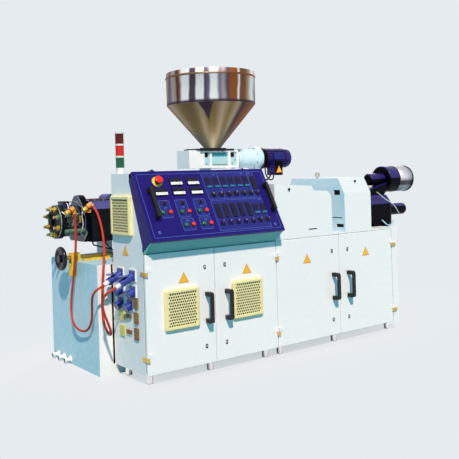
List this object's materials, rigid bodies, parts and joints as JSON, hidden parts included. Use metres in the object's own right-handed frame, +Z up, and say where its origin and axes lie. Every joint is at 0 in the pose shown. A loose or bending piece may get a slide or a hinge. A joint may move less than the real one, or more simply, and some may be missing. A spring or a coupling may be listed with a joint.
{
  "type": "plastic extruder",
  "caption": "Conical twin-screw plastic extruder with sloped control console, stainless hopper, feeder, drive motor with blower, and hinged cabinet doors.",
  "frame": {"origin": "on the floor, at the underside of the foot below the crossing of the barrel's axis and the hopper's axis", "axes": "+X from the barrel's open end to the main motor, +Y from the doors to the back, +Z up"},
  "size_m": [3.185, 1.3329, 2.15],
  "materials": {
    "white_paint": "satin",
    "blue_paint": "satin",
    "black_paint": "satin",
    "black_plastic": "matte",
    "cream_plastic": "matte",
    "brass_plated": "satin",
    "yellow_paint": "satin",
    "stainless": "brushed",
    "steel": "machined",
    "blue_plastic": "gloss",
    "orange_plastic": "gloss",
    "green_plastic": "matte",
    "red_plastic": "gloss",
    "cord_red": "satin"
  },
  "bodies": {
    "frame": {"levelling_feet": "steel", "left_base": "white_paint", "cabinet_floors": "white_paint", "cabinet_sides": "white_paint", "cabinet_backs": "white_paint", "cabinet_top": "white_paint", "door_posts": "white_paint", "deck": "white_paint", "corner_post": "white_paint", "door_hinges": "brass_plated", "side_grille": "cream_plastic", "console_sides": "blue_paint", "console_underside": "blue_paint", "lid_hinges": "steel", "gearbox_hood": "white_paint", "gearbox_case": "white_paint", "coupling_guard": "white_paint", "drive_shaft": "steel", "lifting_eye": "stainless", "main_motor": "blue_paint", "tacho_generator": "blue_paint", "motor_blower": "blue_paint", "blower_filter": "stainless", "hopper": "stainless", "slide_gate": "black_paint", "feeder_housing": "white_paint", "feeder_coupling": "white_paint", "feeder_motor": "blue_paint", "barrel_shroud": "black_paint", "barrel_head": "steel", "flange_studs": "brass_plated", "heater_bands": "brass_plated", "heater_connectors": "orange_plastic", "barrel_collar": "blue_paint", "barrel_supports": "black_paint", "screw_bracket": "yellow_paint", "socket_bank": "blue_plastic", "socket_plugs": "blue_plastic", "side_connectors": "green_plastic", "signal_tower": "red_plastic", "barrel_pipes": "steel", "heater_cord_1": "cord_red", "heater_cord_2": "cord_red"},
    "door_1": {"door_1": "white_paint", "door_handle_1": "black_plastic", "door_grille_1": "cream_plastic"},
    "door_2": {"door_2": "white_paint", "door_handle_2": "black_plastic", "door_grille_2": "cream_plastic"},
    "door_3": {"door_3": "white_paint", "door_handle_3": "black_plastic"},
    "door_4": {"door_4": "white_paint", "door_handle_4": "black_plastic"},
    "console_lid": {"console_lid": "blue_paint", "console_instruments": "black_plastic", "console_controls": "black_plastic", "console_handles": "black_plastic"},
    "handwheel": {"handwheel": "black_plastic", "adjusting_screw": "brass_plated"}
  },
  "joints": [
    {"name": "door_1_hinge", "type": "hinge", "parent": "frame", "child": "door_1", "pos_m": [-1.149, -0.866, 0.45], "axis": [0, 0, -1], "range_deg": [0, 100]},
    {"name": "door_2_hinge", "type": "hinge", "parent": "frame", "child": "door_2", "pos_m": [-0.089, -0.866, 0.45], "axis": [0, 0, 1], "range_deg": [0, 80]},
    {"name": "door_3_hinge", "type": "hinge", "parent": "frame", "child": "door_3", "pos_m": [-0.071, -0.866, 0.45], "axis": [0, 0, -1], "range_deg": [0, 80]},
    {"name": "door_4_hinge", "type": "hinge", "parent": "frame", "child": "door_4", "pos_m": [1.16, -0.866, 0.45], "axis": [0, 0, 1], "range_deg": [0, 100]},
    {"name": "lid_hinge", "type": "hinge", "parent": "frame", "child": "console_lid", "pos_m": [-0.619, -0.69, 1.356], "axis": [-1, 0, 0], "range_deg": [0, 65]},
    {"name": "handwheel_turn", "type": "hinge", "parent": "frame", "child": "handwheel", "pos_m": [-1.371, -0.07, 0.767], "axis": [1, 0, 0], "continuous": true}
  ]
}
